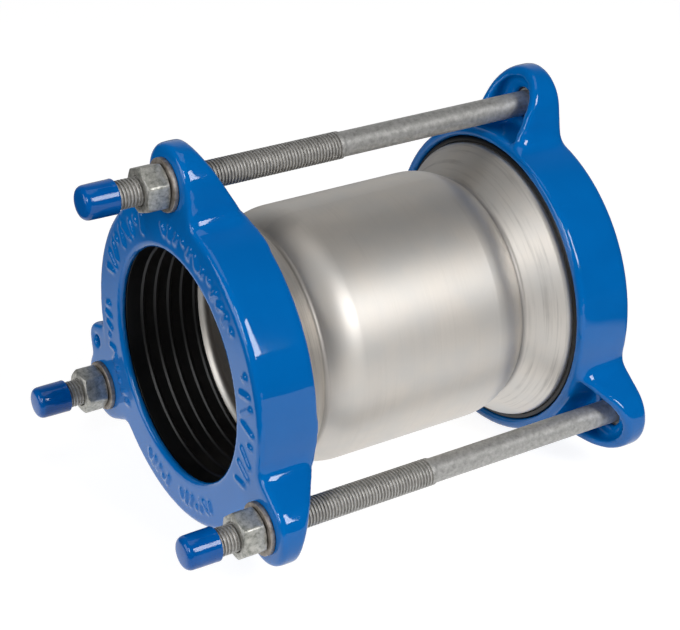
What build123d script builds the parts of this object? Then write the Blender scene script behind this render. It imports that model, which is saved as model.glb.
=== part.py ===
import os
from math import cos, hypot, radians, sin, sqrt, tan

from build123d import *

# Gibault joint, a flexible pipe coupling. Millimetres, with the pipe's axis along X, the origin on that axis
# midway between the two end rings, one bolt straight above it, and the nuts on the -X side. Along the pipe, a
# size whose name ends in x is a distance from the middle plane, the same on both sides.

os.makedirs("parts", exist_ok=True)

# Round the pipe, from the bore outwards
pipe_bore = 135.0
shoulder_height = 8.0
flare_height = 17.4
gasket_clearance = 0.3
gasket_lip_wall = 3.0
skirt_wall = 6.5
bolt_standoff = 14.0

# Along the pipe
sleeve_length = 192.0
mouth_to_face = 28.0
ring_depth = 36.0
neck_from_mouth = 29.0

# End ring
face_plate = 5.0
bore_lip = 2.5
face_rounding = 3.0
rim_outer_rounding = 2.5
rim_inner_rounding = 1.5
heel_corner = 3.0

# Lugs, each a hollow horn that is open towards the sleeve
lug_angles = (90.0, 210.0, 330.0)
lug_radius = 22.5
lug_spread = 3.0
lug_wall = 5.5
lug_plate = 11.5
lug_tip_depth = 12.0
lug_root_rounding = 8.0
lug_rim_rounding = 2.0
pocket_rounding = 3.0
bolt_hole = 18.0
head_socket_depth = 7.0
head_socket_gap = 0.4

# Eye in a web beside the third lug
eye_hole = 7.0
eye_radius = 11.0
eye_thickness = 9.0
eye_below_bolt = 6.0
eye_beside_lug = 4.5
eye_setback = 0.3
eye_rounding = 2.5

# Gasket
lip_setback = 1.5
slot_room = 7.0
nose_from_neck = 5.0
nose_thickness = 0.5
rib_count = 5
first_rib = 10.6
last_rib = 2.1
rib_height = 1.2
rib_crest = 1.4
rib_foot = 2.8
rib_gap = 0.2

# Sleeve
sleeve_wall = 2.0
shoulder_radius = 33.0
flare_angle = 41.0
neck_rounding = 3.0
mouth_rounding = 5.0

# M16 bolts, nuts and washers
bolt_past_nut = 26.8
thread_length = 151.5
thread_radius = 7.9
rolled_shank_radius = 7.2
bolt_tip_chamfer = 1.2
across_flats = 24.0
corner_cut = 0.9
head_height = 10.0
head_turn = 30.0
nut_height = 14.2
nut_turns = (40.0, 21.0, 8.0)
nut_clearance = 0.05
nut_countersink = 0.9
washer_radius = 15.0
washer_hole = 17.5
washer_thickness = 3.0

# Caps, each pushed a little less far over its bolt's end than the next one
cap_wall = 1.7
cap_end_wall = 2.0
cap_length = 20.0
cap_rounding = 3.5
cap_clearance = 0.05
cap_gaps = (5.0, 2.5, 0.0)

# Worked out from the sizes above, from the bore outwards and from the sleeve's mouth outwards
bore_radius = pipe_bore / 2
neck_radius = bore_radius
barrel_radius = neck_radius + shoulder_height
mouth_radius = neck_radius + flare_height
lip_radius = mouth_radius + gasket_clearance
gasket_radius = lip_radius + gasket_lip_wall
skirt_inner = gasket_radius + gasket_clearance
ring_radius = skirt_inner + skirt_wall
bolt_circle_radius = ring_radius + bolt_standoff
lug_top = bolt_circle_radius + lug_radius
mouth_x = sleeve_length / 2
neck_x = mouth_x - neck_from_mouth
face_x = mouth_x + mouth_to_face
heel_x = face_x - face_plate
rim_x = face_x - ring_depth
seat_x = face_x + washer_thickness
nut_end_x = seat_x + nut_height
bolt_tip_x = nut_end_x + bolt_past_nut
head_seat_x = face_x - head_socket_depth
flare_slope = tan(radians(flare_angle))


def across_pipe(angle, x):
    # Plane across the pipe, with its first axis towards a lug
    return Plane(origin=(x, 0, 0), x_dir=(0, cos(radians(angle)), sin(radians(angle))), z_dir=(1, 0, 0))


def across_bolt(angle, x, turn=0):
    # Plane across a bolt, with its first axis turned from +Y towards +Z
    centre = (x, bolt_circle_radius * cos(radians(angle)), bolt_circle_radius * sin(radians(angle)))
    return Plane(origin=centre, x_dir=(0, cos(radians(turn)), sin(radians(turn))), z_dir=(1, 0, 0))


def along_bolt(angle):
    # Plane through a bolt's axis, with its first axis along the pipe from the middle plane
    centre = (0, bolt_circle_radius * cos(radians(angle)), bolt_circle_radius * sin(radians(angle)))
    return Plane(origin=centre, x_dir=(1, 0, 0), z_dir=(0, -1, 0))


def bolt_axis(angle):
    return Axis(along_bolt(angle).origin, (1, 0, 0))


def middle_radius(edge):
    return hypot((edge @ 0.5).Y, (edge @ 0.5).Z)


def finish(piece, label):
    piece.part.label = label
    export_step(piece.part, f"parts/{label}.step")


# One lug, above the pipe and still solid: it runs into the ring, and its rim slopes from the ring's rim to its tip
with BuildPart() as lug:
    with BuildSketch(across_pipe(0, -face_x)) as lug_outline:
        foot_half_width = lug_radius + lug_spread
        with BuildLine():
            CenterArc((0, bolt_circle_radius), lug_radius, 0, 360)
            Line((-foot_half_width, skirt_inner), (foot_half_width, skirt_inner))
        make_hull()
        Circle(ring_radius)
        roots = [v for v in lug_outline.vertices() if v.Y > 0 and abs(hypot(v.X, v.Y) - ring_radius) < 0.01]
        fillet(roots, lug_root_rounding)
        Circle(ring_radius - skirt_wall / 2, mode=Mode.SUBTRACT)
        with Locations((0, bolt_circle_radius)):
            Rectangle(ring_radius, bolt_circle_radius, mode=Mode.INTERSECT)
    extrude(amount=ring_depth)
    with BuildSketch(Plane.XZ):
        rim_slope = (ring_depth - lug_tip_depth) / (lug_top - skirt_inner)
        above_lug = lug_top + lug_tip_depth / rim_slope
        with BuildLine():
            Polyline((-face_x, 0), (-rim_x, 0), (-rim_x, skirt_inner), (-face_x, above_lug), close=True)
        make_face()
    extrude(amount=ring_radius, both=True, mode=Mode.INTERSECT)
    rim = lug.faces().filter_by(lambda face: face.normal_at().X > 0.1 and face.normal_at().Z > 0.1)
    fillet(rim.edges().filter_by(lambda edge: middle_radius(edge) > ring_radius - 0.01), lug_rim_rounding)

# The hollow of a lug, down to the ring's own wall
with BuildPart() as pocket:
    with BuildSketch(across_pipe(0, -face_x + lug_plate)):
        pocket_half_width = foot_half_width - lug_wall
        with BuildLine():
            CenterArc((0, bolt_circle_radius), lug_radius - lug_wall, 0, 360)
            Line((-pocket_half_width, skirt_inner), (pocket_half_width, skirt_inner))
        make_hull()
        Circle(ring_radius, mode=Mode.SUBTRACT)
    extrude(amount=ring_depth)
    fillet(pocket.faces().sort_by(Axis.X)[0].edges(), pocket_rounding)

# The eye, in a web that joins the ring and the third lug
with BuildPart() as eye:
    with BuildSketch(across_pipe(lug_angles[2], -face_x + eye_setback)):
        eye_centre = (bolt_circle_radius - eye_below_bolt, lug_radius + eye_beside_lug)
        with BuildLine():
            CenterArc(eye_centre, eye_radius, 0, 360)
            CenterArc((ring_radius - eye_radius, lug_radius), eye_radius, 0, 360)
            CenterArc((bolt_circle_radius, lug_radius - eye_radius - 1), eye_radius, 0, 360)
        make_hull()
    extrude(amount=eye_thickness)
    fillet(eye.faces().sort_by(Axis.X)[0].edges() + eye.faces().sort_by(Axis.X)[-1].edges(), eye_rounding)
    with BuildSketch(across_pipe(lug_angles[2], -face_x)):
        Circle(ring_radius - skirt_wall / 2)
        with Locations(eye_centre):
            Circle(eye_hole / 2)
    extrude(amount=ring_depth, mode=Mode.SUBTRACT)

# Front end ring
with BuildPart() as front_end_ring:
    with BuildSketch(Plane.XZ) as ring_section:
        with Locations((-face_x, bore_radius)):
            Rectangle(ring_depth, ring_radius - bore_radius, align=(Align.MIN, Align.MIN))
        with Locations((-heel_x, bore_radius)):
            Rectangle(ring_depth, skirt_inner - bore_radius, align=(Align.MIN, Align.MIN), mode=Mode.SUBTRACT)
        for corner, rounding in (
            ((-face_x, bore_radius), bore_lip),
            ((-rim_x, ring_radius), rim_outer_rounding),
            ((-rim_x, skirt_inner), rim_inner_rounding),
            ((-heel_x, skirt_inner), heel_corner),
        ):
            fillet(ring_section.vertices().sort_by_distance(corner)[0], rounding)
    revolve(axis=Axis.X)
    for angle in lug_angles:
        add(lug.part, rotation=(angle - lug_angles[0], 0, 0))
    fillet(front_end_ring.faces().sort_by(Axis.X)[0].outer_wire().edges(), face_rounding)
    add(eye.part)
    for angle in lug_angles:
        add(pocket.part, rotation=(angle - lug_angles[0], 0, 0), mode=Mode.SUBTRACT)
        with BuildSketch(across_bolt(angle, -face_x)):
            Circle(bolt_hole / 2)
        extrude(amount=ring_depth, mode=Mode.SUBTRACT)
finish(front_end_ring, "front_end_ring")

# Rear end ring, the same casting turned round and rolled on by one lug, with sockets that hold the bolt heads
with BuildPart() as rear_end_ring:
    add(front_end_ring.part, rotation=(360 / len(lug_angles), 0, 180))
    for angle in lug_angles:
        with BuildSketch(across_bolt(angle, head_seat_x, head_turn)):
            RegularPolygon(across_flats / 2 + head_socket_gap, 6, major_radius=False)
        extrude(amount=head_socket_depth, mode=Mode.SUBTRACT)
finish(rear_end_ring, "rear_end_ring")

# Front gasket: a ribbed wedge inside the sleeve's flare, its heel, and a lip round the sleeve's mouth
with BuildPart() as front_gasket:
    with BuildSketch(Plane.XZ):
        wedge_radius = mouth_radius - sleeve_wall - gasket_clearance
        wall_on_slope = (sleeve_wall + gasket_clearance) / cos(radians(flare_angle))
        valley_radius = bore_radius + rib_gap + rib_height
        nose_x = neck_x + nose_from_neck
        nose_radius = neck_radius + nose_from_neck * flare_slope - wall_on_slope
        slope_end_x = neck_x + (wedge_radius - neck_radius + wall_on_slope) / flare_slope
        with BuildLine():
            Polyline(
                (-heel_x, valley_radius), (-heel_x, gasket_radius - heel_corner),
                (-heel_x + heel_corner, gasket_radius), (-rim_x - lip_setback, gasket_radius),
                (-rim_x - lip_setback, lip_radius), (-mouth_x - slot_room, lip_radius),
                (-mouth_x - slot_room, wedge_radius), (-slope_end_x, wedge_radius), (-nose_x, nose_radius),
                (-nose_x, nose_radius - nose_thickness), (-nose_x - last_rib, valley_radius), close=True,
            )
        make_face()
        rib_pitch = (heel_x - first_rib - nose_x - last_rib) / (rib_count - 1)
        for rib in range(rib_count):
            rib_x = heel_x - first_rib - rib * rib_pitch
            with BuildLine():
                Polyline(
                    (-rib_x - rib_foot / 2, valley_radius), (-rib_x - rib_crest / 2, valley_radius - rib_height),
                    (-rib_x + rib_crest / 2, valley_radius - rib_height), (-rib_x + rib_foot / 2, valley_radius),
                    (-rib_x, valley_radius + rib_height), close=True,
                )
            make_face()
    revolve(axis=Axis.X)
finish(front_gasket, "front_gasket")

# Rear gasket
with BuildPart() as rear_gasket:
    add(front_gasket.part, rotation=(0, 0, 180))
finish(rear_gasket, "rear_gasket")

# Sleeve, formed from tube: barrel, rounded shoulders, neck creases and flared mouths
with BuildPart() as sleeve:
    with BuildSketch(Plane.XZ):
        shoulder_run = sqrt(shoulder_radius**2 - (shoulder_radius - shoulder_height) ** 2)
        flare_end_x = neck_x + flare_height / flare_slope
        with BuildLine() as sleeve_outside:
            Line((0, barrel_radius), (neck_x - shoulder_run, barrel_radius))
            RadiusArc((neck_x - shoulder_run, barrel_radius), (neck_x, neck_radius), shoulder_radius)
            Polyline((neck_x, neck_radius), (flare_end_x, mouth_radius), (mouth_x, mouth_radius))
            fillet(sleeve_outside.vertices().sort_by_distance((neck_x, neck_radius))[0], neck_rounding)
            fillet(sleeve_outside.vertices().sort_by_distance((flare_end_x, mouth_radius))[0], mouth_rounding)
            offset(amount=sleeve_wall, side=Side.RIGHT)
        make_face()
        mirror(about=Plane.YZ)
    revolve(axis=Axis.X)
finish(sleeve, "sleeve")


def make_hexagon(angle, seat, end, turn):
    # Hexagon of a nut or head whose corners are cut by a cone at each end
    with BuildSketch(across_bolt(angle, min(seat, end), turn)) as outline:
        RegularPolygon(across_flats / 2, 6, major_radius=False)
    extrude(outline.sketch, amount=abs(end - seat))
    corner_radius = across_flats / sqrt(3)
    face_radius = (across_flats - corner_cut) / 2
    cut = (corner_radius - face_radius) * tan(radians(30)) * (1 if end > seat else -1)
    with BuildSketch(along_bolt(angle)) as envelope:
        with BuildLine():
            Polyline(
                (seat, 0), (seat, face_radius), (seat + cut, corner_radius),
                (end - cut, corner_radius), (end, face_radius), (end, 0), close=True,
            )
        make_face()
    revolve(envelope.sketch, axis=bolt_axis(angle), mode=Mode.INTERSECT)


def make_washer(angle, label):
    with BuildPart() as washer:
        with BuildSketch(across_bolt(angle, -seat_x)):
            Circle(washer_radius)
            Circle(washer_hole / 2, mode=Mode.SUBTRACT)
        extrude(amount=washer_thickness)
    finish(washer, label)


def make_nut(angle, turn, label):
    with BuildPart() as nut:
        make_hexagon(angle, -seat_x, -nut_end_x, turn)
        with BuildSketch(along_bolt(angle)):
            nut_bore = thread_radius + nut_clearance
            with BuildLine():
                Polyline(
                    (-seat_x, 0), (-seat_x, nut_bore + nut_countersink), (-seat_x - nut_countersink, nut_bore),
                    (-nut_end_x + nut_countersink, nut_bore), (-nut_end_x, nut_bore + nut_countersink),
                    (-nut_end_x, 0), close=True,
                )
            make_face()
        revolve(axis=bolt_axis(angle), mode=Mode.SUBTRACT)
    finish(nut, label)


def make_bolt(angle, label):
    with BuildPart() as bolt:
        make_hexagon(angle, head_seat_x, head_seat_x + head_height, head_turn)
        with BuildSketch(along_bolt(angle)):
            with BuildLine():
                Polyline(
                    (head_seat_x, 0), (head_seat_x, rolled_shank_radius), (thread_length - bolt_tip_x, rolled_shank_radius),
                    (thread_length - bolt_tip_x, thread_radius), (bolt_tip_chamfer - bolt_tip_x, thread_radius),
                    (-bolt_tip_x, thread_radius - bolt_tip_chamfer), (-bolt_tip_x, 0), close=True,
                )
            make_face()
        revolve(axis=bolt_axis(angle))
    finish(bolt, label)


def make_cap(angle, gap, label):
    with BuildPart() as cap:
        cap_bore = thread_radius + cap_clearance
        with BuildSketch(across_bolt(angle, -bolt_tip_x - gap - cap_end_wall)):
            Circle(cap_bore + cap_wall)
        extrude(amount=cap_length)
        fillet(cap.faces().sort_by(Axis.X)[0].edges(), cap_rounding)
        with BuildSketch(across_bolt(angle, -bolt_tip_x - gap)):
            Circle(cap_bore)
        extrude(amount=cap_length, mode=Mode.SUBTRACT)
    finish(cap, label)


for number, angle in enumerate(lug_angles, start=1):
    make_bolt(angle, f"bolt_{number}")
    make_washer(angle, f"washer_{number}")
    make_nut(angle, nut_turns[number - 1], f"nut_{number}")
    make_cap(angle, cap_gaps[number - 1], f"cap_{number}")
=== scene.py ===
from math import acos, atan2, cos, hypot, pi, radians, sin, tan

import bmesh
import bpy
from mathutils import Matrix, Vector


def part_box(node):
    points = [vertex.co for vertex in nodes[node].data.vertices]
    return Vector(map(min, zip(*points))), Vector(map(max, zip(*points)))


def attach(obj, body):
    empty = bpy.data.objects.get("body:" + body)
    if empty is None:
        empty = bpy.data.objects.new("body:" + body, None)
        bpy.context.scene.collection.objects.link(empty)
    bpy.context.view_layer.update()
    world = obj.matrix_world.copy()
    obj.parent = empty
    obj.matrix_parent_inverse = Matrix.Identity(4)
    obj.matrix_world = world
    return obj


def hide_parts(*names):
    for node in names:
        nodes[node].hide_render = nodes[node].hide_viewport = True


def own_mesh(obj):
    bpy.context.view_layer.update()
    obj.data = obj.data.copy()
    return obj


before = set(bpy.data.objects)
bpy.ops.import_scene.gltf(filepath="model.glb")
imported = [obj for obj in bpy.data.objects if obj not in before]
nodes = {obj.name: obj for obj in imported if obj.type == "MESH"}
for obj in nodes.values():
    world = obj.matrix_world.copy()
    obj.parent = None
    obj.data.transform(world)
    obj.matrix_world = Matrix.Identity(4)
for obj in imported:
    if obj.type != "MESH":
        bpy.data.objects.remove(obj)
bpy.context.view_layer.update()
mm = 0.001  # sizes below are in mm unless a note says otherwise
print("frame loaded:", len(nodes), "nodes")


# Small tools

def srgb(red, green, blue):
    # screen colour, 0 to 255, as the linear colour that a shader takes
    def linear(value):
        value /= 255
        return value / 12.92 if value <= 0.04045 else ((value + 0.055) / 1.055) ** 2.4
    return (linear(red), linear(green), linear(blue), 1)


def edges(node):
    # a node's lowest and highest corner in mm
    low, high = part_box(node)
    return [v / mm for v in low], [v / mm for v in high]


def middle(node):
    low, high = edges(node)
    return [(a + b) / 2 for a, b in zip(low, high)]


def addPiece(name, verts, faces, body, materials, smooth=30, replaced=()):
    # a mesh in mm becomes a piece that rides on a body
    mesh = bpy.data.meshes.new(name)
    mesh.from_pydata([[c * mm for c in v] for v in verts], [], faces)
    mesh.update()
    tidy = bmesh.new()
    tidy.from_mesh(mesh)
    bmesh.ops.remove_doubles(tidy, verts=tidy.verts, dist=0.00001)
    bmesh.ops.recalc_face_normals(tidy, faces=tidy.faces)
    tidy.to_mesh(mesh)
    tidy.free()
    mesh.shade_smooth()
    mesh.set_sharp_from_angle(angle=radians(smooth))
    for material in materials:
        mesh.materials.append(material)
    piece = bpy.data.objects.new(name, mesh)
    bpy.context.scene.collection.objects.link(piece)
    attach(piece, body)
    if replaced:
        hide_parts(*replaced)
    return piece


def roundedOutline(points, steps=4):
    # (x, r, rounding) corners of a closed outline as points, with an arc at each rounded corner
    outline = []
    for i, (x, r, rounding) in enumerate(points):
        here = Vector((x, r))
        before = (Vector(points[i - 1][:2]) - here).normalized()
        after = (Vector(points[(i + 1) % len(points)][:2]) - here).normalized()
        if rounding <= 0:
            outline.append((x, r))
            continue
        half = acos(max(-1, min(1, before.dot(after)))) / 2
        centre = here + (before + after).normalized() * (rounding / sin(half))
        start = here + before * (rounding / tan(half)) - centre
        end = here + after * (rounding / tan(half)) - centre
        sweep = atan2(start.x * end.y - start.y * end.x, start.dot(end))
        for step in range(steps + 1):
            a = sweep * step / steps
            outline.append((centre.x + start.x * cos(a) - start.y * sin(a),
                            centre.y + start.x * sin(a) + start.y * cos(a)))
    return outline


def turned(outline, centre=(0, 0), around=96, openEnds=False):
    # an outline of (x, r) points turned about an axis along X
    verts, faces = [], []
    count = len(outline)
    for i in range(around):
        a = 2 * pi * i / around
        verts += [(x, centre[0] + r * cos(a), centre[1] + r * sin(a)) for x, r in outline]
        j = (i + 1) % around
        for k in range(count - 1 if openEnds else count):
            m = (k + 1) % count
            faces.append((i * count + k, j * count + k, j * count + m, i * count + m))
    return verts, faces


# Materials

def newMaterial(name):
    material = bpy.data.materials.new(name)
    material.use_nodes = True
    tree = material.node_tree
    return material, tree, tree.nodes["Principled BSDF"]


def addNode(tree, kind, **settings):
    node = tree.nodes.new(kind)
    for key, value in settings.items():
        if hasattr(node, key):
            setattr(node, key, value)
        else:
            node.inputs[key].default_value = value
    return node


def setInputs(shader, values):
    for key, value in values.items():
        shader.inputs[key].default_value = value


def noise(tree, size, detail=3.0, stretch=(1, 1, 1), **settings):
    # noise whose grains are size mm across, longer along the axes that have a small stretch
    place = addNode(tree, "ShaderNodeTexCoord")
    scaling = addNode(tree, "ShaderNodeMapping")
    scaling.inputs["Scale"].default_value = stretch
    grain = addNode(tree, "ShaderNodeTexNoise", Scale=1 / (size * mm), Detail=detail, **settings)
    tree.links.new(place.outputs["Object"], scaling.inputs["Vector"])
    tree.links.new(scaling.outputs["Vector"], grain.inputs["Vector"])
    return grain


def ramp(tree, source, stops):
    # colour ramp through (position, colour) stops
    band = addNode(tree, "ShaderNodeValToRGB")
    band.color_ramp.elements[0].position = stops[0][0]
    band.color_ramp.elements[0].color = stops[0][1]
    band.color_ramp.elements[1].position = stops[-1][0]
    band.color_ramp.elements[1].color = stops[-1][1]
    for position, colour in stops[1:-1]:
        band.color_ramp.elements.new(position).color = colour
    tree.links.new(source, band.inputs["Fac"])
    return band


def calculate(tree, operation, first, second=0.0):
    # a Math node, whose two values are sockets or numbers
    node = addNode(tree, "ShaderNodeMath", operation=operation)
    for socket, value in zip(node.inputs, (first, second)):
        if isinstance(value, (int, float)):
            socket.default_value = value
        else:
            tree.links.new(value, socket)
    return node.outputs[0]


def rescale(tree, source, before, after, interpolation="LINEAR"):
    # a value between two ends becomes one between two others, and stays there beyond them
    node = addNode(tree, "ShaderNodeMapRange", interpolation_type=interpolation)
    node.inputs["From Min"].default_value, node.inputs["From Max"].default_value = before
    node.inputs["To Min"].default_value, node.inputs["To Max"].default_value = after
    tree.links.new(source, node.inputs["Value"])
    return node.outputs["Result"]


def mixColours(tree, share, first, second):
    # two colours, each a socket or a fixed one, mixed by a share
    node = addNode(tree, "ShaderNodeMix", data_type="RGBA")
    tree.links.new(share, node.inputs[0])
    for socket, colour in zip([s for s in node.inputs if s.type == "RGBA"], (first, second)):
        if isinstance(colour, tuple):
            socket.default_value = colour
        else:
            tree.links.new(colour, socket)
    return [s for s in node.outputs if s.type == "RGBA"][0]


def objectPlace(tree):
    # the object coordinates and their X, Y and Z
    place = addNode(tree, "ShaderNodeTexCoord").outputs["Object"]
    axes = addNode(tree, "ShaderNodeSeparateXYZ")
    tree.links.new(place, axes.inputs[0])
    return place, axes.outputs


def bump(tree, shader, height, strength, distance):
    relief = addNode(tree, "ShaderNodeBump", Strength=strength, Distance=distance * mm)
    tree.links.new(height, relief.inputs["Height"])
    tree.links.new(relief.outputs["Normal"], shader.inputs["Normal"])
    return relief


def grey(value):
    return (value, value, value, 1)


coating = {
    "deep": srgb(0, 105, 185),
    "light": srgb(0, 110, 192),
    "roughness": 0.05,
    "specular": 0.36,
    "orangePeel": 7.0,
    "peelStrength": 0.12,
}


def makeCoating():
    material, tree, shader = newMaterial("ringCoating")
    setInputs(shader, {"Roughness": coating["roughness"], "Specular IOR Level": coating["specular"]})
    cloud = noise(tree, 30, 2)
    tone = ramp(tree, cloud.outputs["Fac"], [(0.3, coating["deep"]), (0.7, coating["light"])])
    tree.links.new(tone.outputs["Color"], shader.inputs["Base Color"])
    peel = noise(tree, coating["orangePeel"], 2)
    bump(tree, shader, peel.outputs["Fac"], coating["peelStrength"], 0.22)
    return material


steel = {
    "warm": (0.7, 0.66, 0.61, 1),
    "cool": (0.65, 0.63, 0.6, 1),
    # darker steel for the rubbed patches, and for the painted shade line in each neck crease
    "darkSteel": (0.36, 0.34, 0.32, 1),
    "roughness": (0.49, 0.55),
    "anisotropy": 0.15,
    "flareStart": (64.0, 72.0),
    "neckFromMouth": 29.0,
    # half widths of the painted shade line along each neck crease
    "creaseShadeHalfWidth": (0.7, 2.2),
}


def makeSleeveSteel():
    material, tree, shader = newMaterial("sleeveSteel")
    setInputs(shader, {"Metallic": 1.0, "Anisotropic": steel["anisotropy"]})
    along = addNode(tree, "ShaderNodeTangent", direction_type="RADIAL", axis="X")
    tree.links.new(along.outputs["Tangent"], shader.inputs["Tangent"])
    cloud = noise(tree, 26, 3)
    tone = ramp(tree, cloud.outputs["Fac"], [(0.35, steel["cool"]), (0.65, steel["warm"])])
    brushing = noise(tree, 1.2, 4, stretch=(1, 0.05, 0.05))
    # rolling left faint darker rings and rubbed patches beyond the shoulders
    streaks = noise(tree, 1.6, 5, stretch=(1, 0.03, 0.03))
    patches = noise(tree, 24, 3)
    fromMiddle = calculate(tree, "ABSOLUTE", objectPlace(tree)[1]["X"])
    onFlare = rescale(tree, fromMiddle, [x * mm for x in steel["flareStart"]], (0.12, 1.0))
    worn = ramp(tree, streaks.outputs["Fac"], [(0.5, grey(0)), (0.72, grey(0.7))])
    where = ramp(tree, patches.outputs["Fac"], [(0.4, grey(0.15)), (0.62, grey(1))])
    streaked = calculate(tree, "MULTIPLY", worn.outputs["Color"], where.outputs["Color"])
    darkSteel = calculate(tree, "MULTIPLY", streaked, onFlare)
    # painted shade: a thin dark line of the darker steel is painted along each neck crease, where shade
    # falls
    neck = (edges("sleeve")[1][0] - steel["neckFromMouth"]) * mm
    offNeck = calculate(tree, "ABSOLUTE", calculate(tree, "SUBTRACT", fromMiddle, neck))
    creaseShade = rescale(tree, offNeck, [x * mm for x in steel["creaseShadeHalfWidth"]], (0.9, 0.0))
    # the rubbed wear and the painted crease shade together pick the darker steel
    wearAndCreaseShade = calculate(tree, "MAXIMUM", darkSteel, creaseShade)
    colour = mixColours(tree, wearAndCreaseShade, tone.outputs["Color"], steel["darkSteel"])
    tree.links.new(colour, shader.inputs["Base Color"])
    rough = rescale(tree, brushing.outputs["Fac"], (0.0, 1.0), steel["roughness"])
    tree.links.new(rough, shader.inputs["Roughness"])
    bump(tree, shader, brushing.outputs["Fac"], 0.12, 0.05)
    return material


zinc = {
    "dark": (0.33, 0.325, 0.31, 1),
    "mid": (0.45, 0.445, 0.43, 1),
    "pale": (0.55, 0.545, 0.53, 1),
    # painted shade for the thread roots: warmer, rougher and a little darker at the pale end than the zinc
    "rootShadeDark": (0.36, 0.34, 0.315, 1),
    "rootShadePale": (0.52, 0.5, 0.47, 1),
    "nutDark": (0.25, 0.255, 0.23, 1),
    "nutMid": (0.38, 0.38, 0.345, 1),
    "nutPale": (0.56, 0.55, 0.51, 1),
    "washerDark": (0.2, 0.17, 0.145, 1),
    "washerPale": (0.42, 0.385, 0.35, 1),
    "metallic": 0.75,
}


def makeZinc(name, stops, roughness, grain=2.6):
    # hot-dip zinc, mottled in grains of so many mm through stops of (position, name of a colour)
    material, tree, shader = newMaterial(name)
    setInputs(shader, {"Metallic": zinc["metallic"], "Roughness": roughness})
    mottle = noise(tree, grain, 5, Roughness=0.65)
    tone = ramp(tree, mottle.outputs["Fac"], [(position, zinc[colour]) for position, colour in stops])
    tree.links.new(tone.outputs["Color"], shader.inputs["Base Color"])
    lumps = noise(tree, 1.5, 3)
    bump(tree, shader, lumps.outputs["Fac"], 0.35, 0.2)
    return material


rubber = {
    "dark": (0.0016, 0.0018, 0.0024, 1),
    "dusty": (0.004, 0.004, 0.0045, 1),
    "roughness": 0.36,
    "specular": 0.42,
}


def makeRubber():
    material, tree, shader = newMaterial("gasketRubber")
    setInputs(shader, {"Roughness": rubber["roughness"], "Specular IOR Level": rubber["specular"]})
    bloom = noise(tree, 12, 4)
    tone = ramp(tree, bloom.outputs["Fac"], [(0.35, rubber["dark"]), (0.7, rubber["dusty"])])
    tree.links.new(tone.outputs["Color"], shader.inputs["Base Color"])
    skin = noise(tree, 0.8, 2)
    bump(tree, shader, skin.outputs["Fac"], 0.1, 0.06)
    return material


capPlastic = {
    "deep": srgb(0, 88, 168),
    "light": srgb(0, 95, 176),
    "roughness": 0.1,
    "specular": 0.32,
}


def makeCapPlastic():
    material, tree, shader = newMaterial("capPlastic")
    setInputs(shader, {"Roughness": capPlastic["roughness"], "Specular IOR Level": capPlastic["specular"]})
    cloud = noise(tree, 7, 2)
    tone = ramp(tree, cloud.outputs["Fac"], [(0.3, capPlastic["deep"]), (0.7, capPlastic["light"])])
    tree.links.new(tone.outputs["Color"], shader.inputs["Base Color"])
    wave = noise(tree, 5, 2)
    bump(tree, shader, wave.outputs["Fac"], 0.07, 0.25)
    return material


coatingMaterial = makeCoating()
steelMaterial = makeSleeveSteel()
zincMaterial = makeZinc("galvanisedZinc", [(0.3, "dark"), (0.5, "mid"), (0.68, "pale")], 0.58)
# painted shade: the thread's root faces get a zinc copy of their own
rootShadeMaterial = makeZinc("threadRootShade", [(0.35, "rootShadeDark"), (0.65, "rootShadePale")], 0.7)
nutMaterial = makeZinc("nutZinc", [(0.36, "nutDark"), (0.45, "nutMid"), (0.62, "nutPale")], 0.45, 2.6)
washerMaterial = makeZinc("washerZinc", [(0.35, "washerDark"), (0.65, "washerPale")], 0.55, 4.0)
rubberMaterial = makeRubber()
capMaterial = makeCapPlastic()
print("materials made")


# CAD nodes that keep their own shape

def dress(node, material):
    mesh = nodes[node].data
    mesh.materials.clear()
    mesh.materials.append(material)


dress("sleeve", steelMaterial)
print("sleeve dressed")


# Rings: the cast shape with soft edges and plain raised marks on its face

ring = {
    "voxel": 1.1,
    "softening": 2,
    "face": 124.0,
    "markHeight": 1.35,
    "markFoot": 1.5,
    "markWidth": 2.2,
    "markTilts": (-24, 14, 32, -10, 20, -30, 6),
    # from and to angle, radius, length, number of marks
    "markGroups": ((19, 70, 81.5, 11.5, 9), (83, 146, 81.0, 8.5, 12), (6, -42, 82.0, 7.5, 10),
                   (-62, -82, 81.5, 8.0, 5), (-90, -119, 81.0, 8.5, 7), (-149, -203, 81.0, 13.5, 8)),
    "edgeRounds": 9,
    # the marks stay crisp beyond this distance from the middle plane and between these radii
    "crispFrom": 122.8,
    "crispRadii": (70, 92),
    "seamRounds": 60,
    # where the seams lie: degrees from a lug's middle, radii and distances from the middle plane
    "lugAngles": (90, -30, 210),
    "seamAngles": (13, 42),
    "seamRadii": (91, 104),
    "seamReach": (90, 120.5),
}


def between(value, limits):
    return limits[0] < value < limits[1]


def markSolid(y, z, length, turn):
    # a low bar with round ends lying on the front ring's face
    half, width = length / 2, ring["markWidth"] / 2
    rim = []
    for step in range(12):
        a = 2 * pi * step / 12
        along = (half - width if cos(a) >= 0 else width - half) + width * cos(a)
        across = width * sin(a)
        rim.append((y + along * cos(turn) - across * sin(turn), z + along * sin(turn) + across * cos(turn)))
    outside, inside = -ring["face"] - ring["markHeight"], -ring["face"] + ring["markFoot"]
    verts = [(outside, a, b) for a, b in rim] + [(inside, a, b) for a, b in rim]
    faces = [tuple(reversed(range(12))), tuple(range(12, 24))]
    faces += [(i, (i + 1) % 12, 12 + (i + 1) % 12, 12 + i) for i in range(12)]
    return verts, faces


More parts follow.
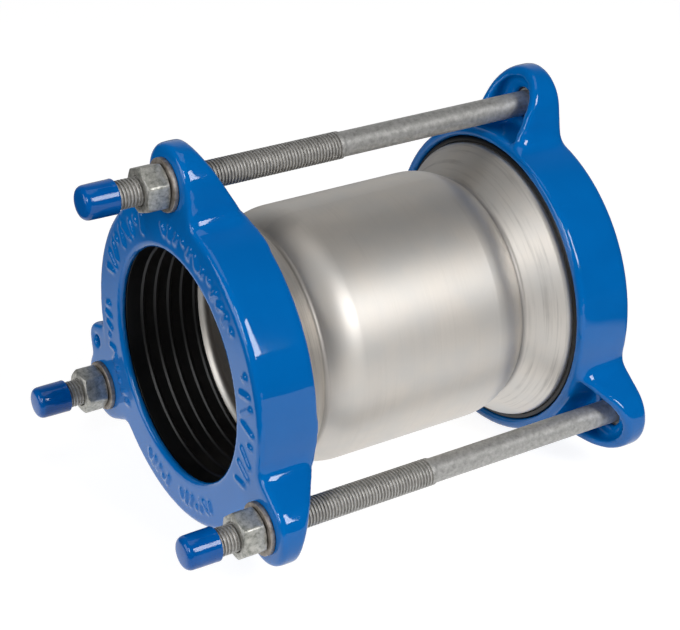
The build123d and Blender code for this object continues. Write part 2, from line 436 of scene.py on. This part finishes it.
def markSolids():
    verts, faces = [], []
    for start, end, radius, length, count in ring["markGroups"]:
        for i in range(count):
            a = radians(start + (end - start) * (i + 0.5) / count)
            tilt = radians(ring["markTilts"][i % len(ring["markTilts"])])
            # every fourth mark is a dot, set further out, and every third bar is shorter
            dot = i % 4 == 3
            size = length * (0.32 if dot else 1.0 if i % 3 else 0.75)
            place = radius + (length * 0.25 if dot else 0)
            solid = markSolid(place * cos(a), place * sin(a), size, a + tilt)
            faces += [tuple(len(verts) + v for v in f) for f in solid[1]]
            verts += solid[0]
    return verts, faces


def softenSeams(mesh):
    # edges are rounded, and the metal flows from each lug's sloping rim into the ring; the marks stay crisp
    work = bmesh.new()
    work.from_mesh(mesh)
    seams, rims = [], []
    for vert in work.verts:
        x, y, z = vert.co / mm
        angle = atan2(z, y) * 180 / pi
        away = min(abs((angle - lug + 180) % 360 - 180) for lug in ring["lugAngles"])
        inSeam = between(away, ring["seamAngles"]) and between(hypot(y, z), ring["seamRadii"])
        if inSeam and between(abs(x), ring["seamReach"]):
            seams.append(vert)
        if abs(x) < ring["crispFrom"] or not between(hypot(y, z), ring["crispRadii"]):
            rims.append(vert)
    everyWay = {"use_axis_x": True, "use_axis_y": True, "use_axis_z": True}
    for verts, rounds in ((rims, ring["edgeRounds"]), (seams, ring["seamRounds"])):
        for _ in range(rounds):
            bmesh.ops.smooth_vert(work, verts=verts, factor=0.5, **everyWay)
    work.to_mesh(mesh)
    work.free()


def makeRing(node, name, body, turnedRound):
    verts, faces = markSolids()
    if turnedRound:
        # half a turn about the third lug's line brings the front ring onto the rear one
        doubled = radians(2 * ring["lugAngles"][1])
        c, s = cos(doubled), sin(doubled)
        verts = [(-x, c * y + s * z, s * y - c * z) for x, y, z in verts]
    source = bmesh.new()
    source.from_mesh(nodes[node].data)
    bmesh.ops.remove_doubles(source, verts=source.verts, dist=0.000002)
    corners = [source.verts.new([v * mm for v in corner]) for corner in verts]
    for face in faces:
        source.faces.new([corners[v] for v in face])
    bmesh.ops.recalc_face_normals(source, faces=source.faces)
    rough = bpy.data.meshes.new(name)
    source.to_mesh(rough)
    source.free()
    piece = bpy.data.objects.new(name, rough)
    bpy.context.scene.collection.objects.link(piece)
    skin = piece.modifiers.new("skin", "REMESH")
    skin.mode, skin.voxel_size = "VOXEL", ring["voxel"] * mm
    soften = piece.modifiers.new("soften", "SMOOTH")
    soften.factor, soften.iterations = 0.5, ring["softening"]
    shaped = bpy.data.meshes.new_from_object(piece.evaluated_get(bpy.context.evaluated_depsgraph_get()))
    piece.modifiers.clear()
    piece.data = shaped
    softenSeams(shaped)
    bpy.data.meshes.remove(rough)
    shaped.name = name
    shaped.materials.clear()
    shaped.materials.append(coatingMaterial)
    shaped.shade_smooth()
    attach(piece, body)
    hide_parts(node)
    print(name, len(shaped.polygons), "faces")


makeRing("front_end_ring", "frontCastRing", "front_ring", False)
makeRing("rear_end_ring", "rearCastRing", "rear_ring", True)
print("rings made")


# Bolts: a rolled thread, a plain shank and a hexagon head

thread = {
    "pitch": 2.0,
    "depth": 0.95,
    "crest": 0.3,
    "root": 0.35,
    "around": 40,
    "fadeTurns": 1.5,
}


def threadSurface(start, end, radius):
    # one helical strip per turn, from start to end along X, about the X axis
    around, pitch = thread["around"], thread["pitch"]
    flank = (1 - thread["crest"] - thread["root"]) / 2
    shape = [(0, 0), (flank, 1), (flank + thread["root"], 1), (1 - thread["crest"], 0)]
    turns = int((end - start) / pitch)
    verts, faces, roots = [], [], []
    count = len(shape)
    for k in range(turns * around + 1):
        a = 2 * pi * k / around
        turn = k / around
        fade = min(1, turn / thread["fadeTurns"], (turns - turn) / thread["fadeTurns"])
        for along, depth in shape:
            r = radius - thread["depth"] * depth * max(0.0, fade)
            verts.append((start + (turn + along) * pitch, r * cos(a), r * sin(a)))
    for k in range(turns * around):
        for m in range(count - 1):
            faces.append((k * count + m, k * count + m + 1, (k + 1) * count + m + 1, (k + 1) * count + m))
            roots.append(m in (0, 1))
        if k + around + 1 <= turns * around:
            faces.append((k * count + count - 1, (k + around) * count, (k + around + 1) * count,
                          (k + 1) * count + count - 1))
            roots.append(False)
    return verts, faces, roots


hexagon = {
    "acrossFlats": 24.0,
    "faceCircle": 0.955,
    "corner": 0.7,
    "cornerSpread": 0.07,
    "edge": 0.35,
    "slope": 30,
    # the side of a nut on its washer is chamfered further in, which leaves a dark groove
    "seatCircle": 0.9,
    "seatSlope": 28,
    # radii of the rings of points under a bolt's head, inside its shank, and on top of it
    "underHead": 6.0,
    "crown": 4.0,
    "around": 120,
}


def hexRadius(angle, apothem):
    # distance from a hexagon's middle to its slightly rounded side
    a = (angle + pi / 6) % (pi / 3) - pi / 6
    flat = apothem / cos(pi / 6 - abs(a))
    cornerRadius = apothem / cos(pi / 6)
    nearness = 1 - min(1, abs(a) / hexagon["cornerSpread"]) ** 2
    softened = cornerRadius - hexagon["corner"] * nearness * 0.45
    return min(flat, softened)


def hexagonBody(low, high, turn, centre, bore=None, boreMouth=0.9):
    # a hexagon with coned ends between two places along X; with a bore it is a nut
    apothem = hexagon["acrossFlats"] / 2
    face = apothem * hexagon["faceCircle"]
    edge = hexagon["edge"]
    verts, faces = [], []
    around = hexagon["around"]
    rows = 0
    for i in range(around):
        a = 2 * pi * i / around
        side = hexRadius(a - radians(turn), apothem)
        cone = (side - face) * tan(radians(hexagon["slope"]))
        if bore:
            seat = apothem * hexagon["seatCircle"]
            under = (side - seat) * tan(radians(hexagon["seatSlope"]))
            row = [(low, bore + boreMouth), (low, face - edge), (low + edge * 0.3, face),
                   (low + cone, side - edge * 0.3), (low + cone + edge, side),
                   (high - under - edge, side), (high - under, side - edge * 0.3), (high - edge * 0.3, seat),
                   (high, seat - edge), (high, bore + boreMouth),
                   (high - boreMouth, bore), (low + boreMouth, bore)]
        else:
            row = [(low, hexagon["underHead"]), (low, face - edge), (low + edge * 0.3, face),
                   (low + cone, side - edge * 0.3), (low + cone + edge, side),
                   (high - cone - edge, side), (high - cone, side - edge * 0.3), (high - edge * 0.3, face),
                   (high, face - edge), (high, hexagon["crown"]), (high, 0.0)]
        rows = len(row)
        verts += [(x, centre[0] + r * cos(a), centre[1] + r * sin(a)) for x, r in row]
    for i in range(around):
        j = (i + 1) % around
        for k in range(rows if bore else rows - 1):
            m = (k + 1) % rows
            faces.append((i * rows + k, j * rows + k, j * rows + m, i * rows + m))
    return verts, faces


bolt = {
    "radius": 7.9,
    "shank": 7.2,
    "threadEnd": -16.5,
    "headSeat": 117.0,
    "headTurn": 30,
    "around": 48,
}


def boltCentre(number):
    # Y and Z of a bolt's axis, on which its cap sits
    return tuple(middle(f"cap_{number}")[1:])


def makeBolt(number):
    node = f"bolt_{number}"
    low, high = edges(node)
    centre = boltCentre(number)
    radius, shank = bolt["radius"], bolt["shank"]
    threadEnd, headSeat = bolt["threadEnd"], bolt["headSeat"]
    verts, faces, roots = threadSurface(low[0] + 1.4, threadEnd, radius)
    verts = [(x, y + centre[0], z + centre[1]) for x, y, z in verts]
    rootFlags = list(roots)

    def join(more):
        # more faces beside the thread's, none of them a root
        offset = len(verts)
        verts.extend(more[0])
        faces.extend([tuple(offset + v for v in f) for f in more[1]])
        rootFlags.extend([False] * len(more[1]))

    tip = roundedOutline([(low[0], 0, 0), (low[0], radius - 1.3, 0.3), (low[0] + 1.5, radius - 0.2, 0),
                          (low[0] + 2.4, radius - 0.35, 0)], 2)
    join(turned(tip, centre, bolt["around"], openEnds=True))
    body = [(threadEnd - 1.4, radius - 0.2), (threadEnd, radius - 0.05), (threadEnd + 1.2, shank + 0.2),
            (threadEnd + 2.4, shank), (headSeat - 0.6, shank), (headSeat, shank + 0.6)]
    join(turned(body, centre, bolt["around"], openEnds=True))
    join(hexagonBody(headSeat, high[0], bolt["headTurn"], centre))
    piece = addPiece(f"threadedBolt{number}", verts, faces, "rear_ring",
                     [zincMaterial, rootShadeMaterial], 40, (node,))
    # the thread's root faces take the painted shade material
    if len(piece.data.polygons) == len(rootFlags):
        for polygon, flag in zip(piece.data.polygons, rootFlags):
            polygon.material_index = 1 if flag else 0
    return piece


nut = {
    "bore": 7.95,
    "turns": {1: 40, 2: 21, 3: 8},
}


def makeNut(number):
    node = f"nut_{number}"
    low, high = edges(node)
    turn = nut["turns"][number]
    verts, faces = hexagonBody(low[0], high[0], turn, boltCentre(number), bore=nut["bore"])
    return addPiece(f"hexNut{number}", verts, faces, node, [nutMaterial], 35, (node,))


washer = {
    "bore": 8.75,
    "rim": 15.0,
    "boreRounding": 0.25,
    "rimRounding": 0.6,
    "around": 72,
}


def makeWasher(node, body):
    low, high = edges(node)
    place = middle(node)
    inner, outer = (washer["bore"], washer["boreRounding"]), (washer["rim"], washer["rimRounding"])
    outline = roundedOutline([(low[0], *inner), (low[0], *outer), (high[0], *outer), (high[0], *inner)])
    verts, faces = turned(outline, (place[1], place[2]), washer["around"])
    name = node.replace("_", "Disc")
    return addPiece(name, verts, faces, body, [washerMaterial], 40, (node,))


for number in (1, 2, 3):
    makeBolt(number)
    makeNut(number)
    makeWasher(f"washer_{number}", "front_ring")
print("bolts, nuts and washers made")


# Caps: dipped plastic, rounded at the tip and slightly full at the open edge

cap = {
    "wall": 1.7,
    "tipCrown": 0.55,
    "tipWall": 2.0,
    "tipRounding": 3.6,
    "rimRounding": 0.3,
    "around": 72,
}


def makeCap(number):
    node = f"cap_{number}"
    low, high = edges(node)
    place = middle(node)
    outer = (high[1] - low[1]) / 2
    inner = outer - cap["wall"]
    tip, rim, rimRounding = low[0], high[0], cap["rimRounding"]
    outline = roundedOutline([
        (tip, 0, 0), (tip + 0.25, outer * 0.45, 1.5),
        (tip + cap["tipCrown"], outer - 0.3, cap["tipRounding"]), (tip + 9, outer - 0.12, 3),
        (rim - 2.5, outer - 0.1, 2), (rim - 0.5, outer, 0.4),
        (rim, outer - 0.15, rimRounding), (rim, inner + 0.15, rimRounding), (rim - 1, inner, 0.2),
        (tip + cap["tipWall"], inner, rimRounding), (tip + cap["tipWall"], 0, 0)], 5)
    verts, faces = turned(outline, (place[1], place[2]), cap["around"], openEnds=True)
    return addPiece(f"threadCap{number}", verts, faces, node, [capMaterial], 50, (node,))


for number in (1, 2, 3):
    makeCap(number)
print("caps made")


# Gaskets: soft ribs in the bore, a heel on the ring's plate and a lip round the sleeve's mouth

gasket = {
    # X, radius and rounding: heel on the plate, lip over the mouth, slot for the mouth, wedge, nose
    "back": ((119.0, 85.2, 0), (116.0, 88.2, 0.6), (89.5, 88.2, 1.1), (89.5, 85.25, 0.6), (103.0, 85.2, 1.2),
             (103.0, 82.6, 0.6), (86.35, 82.6, 1.5), (72.0, 68.85, 0.2), (72.0, 68.3, 0.2)),
    "valley": 68.9,
    "ribs": (108.4, 99.8, 91.3, 82.7, 74.1),
    "ribHeight": 1.2,
    "ribWidth": 2.0,
    "ribFoot": 0.35,
    "keep": 0.84,
    "around": 160,
}


def makeGasket(node, side, body):
    outline = [(gasket["back"][0][0], gasket["valley"], 0.4), *gasket["back"]]
    for x in reversed(gasket["ribs"]):
        half = gasket["ribWidth"] / 2
        crest = gasket["valley"] - gasket["ribHeight"]
        foot = half + gasket["ribFoot"]
        outline += [(x - foot, gasket["valley"], 0.3), (x - half * 0.55, crest, 0.5),
                    (x + half * 0.55, crest, 0.5), (x + foot, gasket["valley"], 0.3)]
    points = [(side * x, r) for x, r in roundedOutline(outline, 3)]
    verts, faces = turned(points, (0, 0), gasket["around"])
    name = node.replace("_g", "G")
    piece = addPiece(name, verts, faces, body, [rubberMaterial], 50, (node,))
    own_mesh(piece)
    return piece


makeGasket("front_gasket", -1, "front_ring")
makeGasket("rear_gasket", 1, "rear_ring")
print("gaskets made")


# Floor, light and camera

studio = {
    # the floor's height is in mm, and its other measures are in m
    "floorHeight": -95.0,
    "floorReach": 6.0,
    "floor": grey(0.86),
    "floorSeen": grey(0.3),
    "floorGlow": (0.88, 1.0),
    "glowReach": (0.9, 2.6),
    "stripHalfWidth": (0.24, 0.3),
    # painted shade: from and to distance back, in m, over which the strip is painted down to 0.3
    "stripShadeFalloff": (0.12, 0.4),
    # facing away from the backdrop to straight at it: share, brightness
    "backdrop": ((0.0, 0.02), (0.72, 0.03), (0.85, 0.12), (0.93, 0.5), (1.0, 0.7)),
    "backdropAt": (147, 8),
    # azimuth, elevation, distance in m, width and height in m, power in W
    "lamps": {
        "keyLamp": (17, 33, 2.4, (0.58, 1.0), 28.5),
        "leftLamp": (-62, 27, 2.4, (0.36, 0.9), 18.0),
        "faceLamp": (-97, 12, 2.4, (1.4, 1.2), 18.0),
        "topLamp": (-20, 88, 2.2, (1.2, 1.2), 5.0),
    },
}


def towards(azimuth, elevation):
    # azimuth 0 is straight in front, along -Y
    a, e = radians(azimuth), radians(elevation)
    return Vector((sin(a) * cos(e), -cos(a) * cos(e), sin(e)))


def makeFloor():
    # a strip of white paper, whose shadow stays; the camera sees it reach all round
    material, tree, shader = newMaterial("paleFloor")
    setInputs(shader, {"Roughness": 0.9, "Specular IOR Level": 0.1, "Emission Color": grey(1)})
    rays = addNode(tree, "ShaderNodeLightPath").outputs
    place, axes = objectPlace(tree)
    across = calculate(tree, "ABSOLUTE", axes["X"])
    strip = rescale(tree, across, studio["stripHalfWidth"], (1.0, 0.03), "SMOOTHSTEP")
    # painted shade: the strip is painted darker towards the back, standing in for light that falls off there
    fade = rescale(tree, axes["Y"], studio["stripShadeFalloff"], (1.0, 0.3), "SMOOTHSTEP")
    pale = calculate(tree, "MULTIPLY", strip, fade)
    onStrip = calculate(tree, "MAXIMUM", pale, rays["Is Camera Ray"])
    mirrored = calculate(tree, "MAXIMUM", rays["Is Glossy Ray"], rays["Is Transmission Ray"])
    seen = calculate(tree, "MAXIMUM", mirrored, rays["Is Camera Ray"])
    # the glow makes up for the lamps' fall-off far from the joint
    away = addNode(tree, "ShaderNodeVectorMath", operation="LENGTH")
    tree.links.new(place, away.inputs[0])
    far = rescale(tree, away.outputs["Value"], studio["glowReach"], studio["floorGlow"], "SMOOTHSTEP")
    glow = calculate(tree, "MULTIPLY", calculate(tree, "MULTIPLY", seen, onStrip), far)
    tree.links.new(glow, shader.inputs["Emission Strength"])
    paper = addNode(tree, "ShaderNodeVectorMath", operation="SCALE")
    tree.links.new(mixColours(tree, seen, studio["floor"], studio["floorSeen"]), paper.inputs[0])
    tree.links.new(onStrip, paper.inputs["Scale"])
    tree.links.new(paper.outputs[0], shader.inputs["Base Color"])
    mesh = bpy.data.meshes.new("studioFloor")
    reach = studio["floorReach"]
    corners = [(x, y, studio["floorHeight"] * mm) for x, y in
               ((-reach, -reach), (reach, -reach), (reach, reach), (-reach, reach))]
    mesh.from_pydata(corners, [], [(0, 1, 2, 3)])
    mesh.materials.append(material)
    floor = bpy.data.objects.new("studioFloor", mesh)
    bpy.context.scene.collection.objects.link(floor)


def makeWorld():
    # a pale backdrop behind the joint in a dark room
    world = bpy.data.worlds.new("studioWorld")
    bpy.context.scene.world = world
    world.use_nodes = True
    tree = world.node_tree
    place = addNode(tree, "ShaderNodeTexCoord")
    facing = addNode(tree, "ShaderNodeVectorMath", operation="DOT_PRODUCT")
    facing.inputs[1].default_value = towards(*studio["backdropAt"])
    tree.links.new(place.outputs["Generated"], facing.inputs[0])
    share = rescale(tree, facing.outputs["Value"], (-1.0, 1.0), (0.0, 1.0))
    # metal and glass see the backdrop where it stands, and the camera sees it all round
    shade = ramp(tree, share, [(position, grey(value)) for position, value in studio["backdrop"]])
    rays = addNode(tree, "ShaderNodeLightPath").outputs
    seen = calculate(tree, "MAXIMUM", shade.outputs["Color"], rays["Is Camera Ray"])
    tree.links.new(seen, tree.nodes["Background"].inputs["Color"])


def addLamp(name, azimuth, elevation, distance, size, power):
    # a softbox turned towards the joint
    data = bpy.data.lights.new(name, "AREA")
    data.shape = "RECTANGLE"
    data.size, data.size_y = size
    data.energy = power
    lamp = bpy.data.objects.new(name, data)
    bpy.context.scene.collection.objects.link(lamp)
    lamp.location = towards(azimuth, elevation) * distance
    lamp.rotation_euler = (-lamp.location).to_track_quat("-Z", "Y").to_euler()
    lamp.visible_camera = False


camera = {
    "place": (-0.53905, -0.82527, 0.48569),
    "azimuth": 32.415,
    "elevation": 26.274,
    "roll": 0.032,
    "focalPixels": 1872.07,
    "imageWidth": 680,
}


def makeCamera():
    data = bpy.data.cameras.new("camera")
    data.sensor_width = 36
    data.lens = camera["focalPixels"] / camera["imageWidth"] * data.sensor_width
    data.clip_start, data.clip_end = 0.05, 50
    view = bpy.data.objects.new("camera", data)
    bpy.context.scene.collection.objects.link(view)
    a, e = radians(camera["azimuth"]), radians(camera["elevation"])
    forward = Vector((sin(a) * cos(e), cos(a) * cos(e), -sin(e)))
    turn = forward.to_track_quat("-Z", "Y").to_matrix().to_4x4()
    roll = Matrix.Rotation(radians(camera["roll"]), 4, "Z")
    view.matrix_world = Matrix.Translation(camera["place"]) @ turn @ roll
    bpy.context.scene.camera = view


makeFloor()
makeWorld()
for name, setting in studio["lamps"].items():
    addLamp(name, *setting)
makeCamera()
bpy.context.scene.view_settings.view_transform = "Standard"
print("studio ready")
